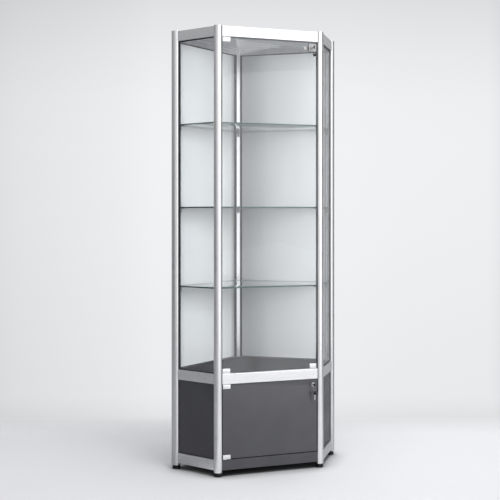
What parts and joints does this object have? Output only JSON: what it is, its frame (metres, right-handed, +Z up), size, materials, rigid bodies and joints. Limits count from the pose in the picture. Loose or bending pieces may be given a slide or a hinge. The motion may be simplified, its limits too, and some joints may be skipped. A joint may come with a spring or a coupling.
{
  "type": "corner display cabinet",
  "caption": "Corner display cabinet: glazed aluminium frame with glass shelves and a pivoted glass door over a closed cupboard, both doors locking.",
  "frame": {"origin": "on the floor, at the centre of the box round the whole cabinet", "axes": "+Z up, -Y out of the doors, +Y to the back corner, +X to the lock side"},
  "size_m": [0.8022, 0.521, 1.98],
  "materials": {
    "post": "satin anodised extrusion",
    "rail": "satin anodised extrusion, fine lengthwise grain",
    "glass": "clear tempered, polished green edges",
    "back_glass": "tempered, satin white coat on the outer face",
    "board": "dark grey melamine on chipboard, semi-matt",
    "ceiling": "light grey lacquered hardboard",
    "gasket": "black, matt",
    "black_plastic": "black moulded nylon",
    "zinc": "die-cast zinc",
    "nylon": "natural nylon",
    "bright_metal": "satin chrome plate",
    "key_black": "black moulded bow on a nickel-plated blade"
  },
  "bodies": {
    "cabinet": {"post_front_left": "post", "post_front_right": "post", "post_side_right": "post", "post_back": "post", "post_side_left": "post", "top_rail_front": "rail", "middle_rail_front": "rail", "top_rail_right": "rail", "middle_rail_right": "rail", "top_rail_back_right": "rail", "middle_rail_back_right": "rail", "top_rail_back_left": "rail", "middle_rail_back_left": "rail", "top_rail_left": "rail", "middle_rail_left": "rail", "bottom_rail_right": "rail", "bottom_rail_back_right": "rail", "bottom_rail_back_left": "rail", "bottom_rail_left": "rail", "plinth_board": "board", "glass_right": "glass", "panel_right": "board", "glass_back_right": "back_glass", "panel_back_right": "board", "glass_back_left": "back_glass", "panel_back_left": "board", "glass_left": "glass", "panel_left": "board", "gaskets": "gasket", "ceiling_panel": "ceiling", "deck_panel": "board", "floor_panel": "board", "shelf_lower": "glass", "shelf_middle": "glass", "shelf_upper": "glass", "shelf_clips": "bright_metal", "post_plugs": "black_plastic", "rail_locks": "zinc", "pivot_bushes": "nylon", "catch_magnet": "bright_metal"},
    "glass_door": {"glass_door": "glass", "glass_door_pivots": "bright_metal", "glass_door_lock_case": "bright_metal", "catch_plate": "bright_metal"},
    "glass_door_barrel": {"glass_door_lock_barrel": "bright_metal"},
    "glass_door_key": {"glass_door_key": "key_black"},
    "glass_door_spare": {"glass_door_key_ring": "bright_metal", "glass_door_spare_key": "key_black"},
    "cupboard_door": {"cupboard_door": "board", "cupboard_door_pivots": "bright_metal", "cupboard_door_lock_case": "bright_metal"},
    "cupboard_door_barrel": {"cupboard_door_lock_barrel": "bright_metal"},
    "cupboard_door_key": {"cupboard_door_key": "key_black"},
    "cupboard_door_spare": {"cupboard_door_key_ring": "bright_metal", "cupboard_door_spare_key": "key_black"},
    "foot_front_left": {"foot_front_left": "black_plastic"},
    "foot_front_right": {"foot_front_right": "black_plastic"},
    "foot_side_right": {"foot_side_right": "black_plastic"},
    "foot_back": {"foot_back": "black_plastic"},
    "foot_side_left": {"foot_side_left": "black_plastic"}
  },
  "joints": [
    {"name": "glass_door_hinge", "type": "hinge", "parent": "cabinet", "child": "glass_door", "pos_m": [-0.21055, -0.21936, 0.45], "axis": [0, 0, -1], "range_deg": [0, 110]},
    {"name": "glass_door_lock_turn", "type": "hinge", "parent": "glass_door", "child": "glass_door_barrel", "pos_m": [0.20455, -0.21936, 1.906], "axis": [0, 1, 0], "range_deg": [0, 90]},
    {"name": "glass_door_key_pull", "type": "slide", "parent": "glass_door_barrel", "child": "glass_door_key", "axis": [0, -1, 0], "range_m": [0, 0.024]},
    {"name": "glass_door_spare_swing", "type": "hinge", "parent": "glass_door_key", "child": "glass_door_spare", "pos_m": [0.20455, -0.24576, 1.906], "axis": [0, 1, 0], "range_deg": [-20, 20]},
    {"name": "cupboard_door_hinge", "type": "hinge", "parent": "cabinet", "child": "cupboard_door", "pos_m": [-0.21055, -0.21936, 0.073], "axis": [0, 0, -1], "range_deg": [0, 110]},
    {"name": "cupboard_door_lock_turn", "type": "hinge", "parent": "cupboard_door", "child": "cupboard_door_barrel", "pos_m": [0.20455, -0.21936, 0.379], "axis": [0, 1, 0], "range_deg": [0, 90]},
    {"name": "cupboard_door_key_pull", "type": "slide", "parent": "cupboard_door_barrel", "child": "cupboard_door_key", "axis": [0, -1, 0], "range_m": [0, 0.024]},
    {"name": "cupboard_door_spare_swing", "type": "hinge", "parent": "cupboard_door_key", "child": "cupboard_door_spare", "pos_m": [0.20455, -0.25026, 0.379], "axis": [0, 1, 0], "range_deg": [-20, 20]},
    {"name": "foot_front_left_height", "type": "slide", "parent": "cabinet", "child": "foot_front_left", "axis": [0, 0, -1], "range_m": [0, 0.008]},
    {"name": "foot_front_right_height", "type": "slide", "parent": "cabinet", "child": "foot_front_right", "axis": [0, 0, -1], "range_m": [0, 0.008]},
    {"name": "foot_side_right_height", "type": "slide", "parent": "cabinet", "child": "foot_side_right", "axis": [0, 0, -1], "range_m": [0, 0.008]},
    {"name": "foot_back_height", "type": "slide", "parent": "cabinet", "child": "foot_back", "axis": [0, 0, -1], "range_m": [0, 0.008]},
    {"name": "foot_side_left_height", "type": "slide", "parent": "cabinet", "child": "foot_side_left", "axis": [0, 0, -1], "range_m": [0, 0.008]}
  ]
}
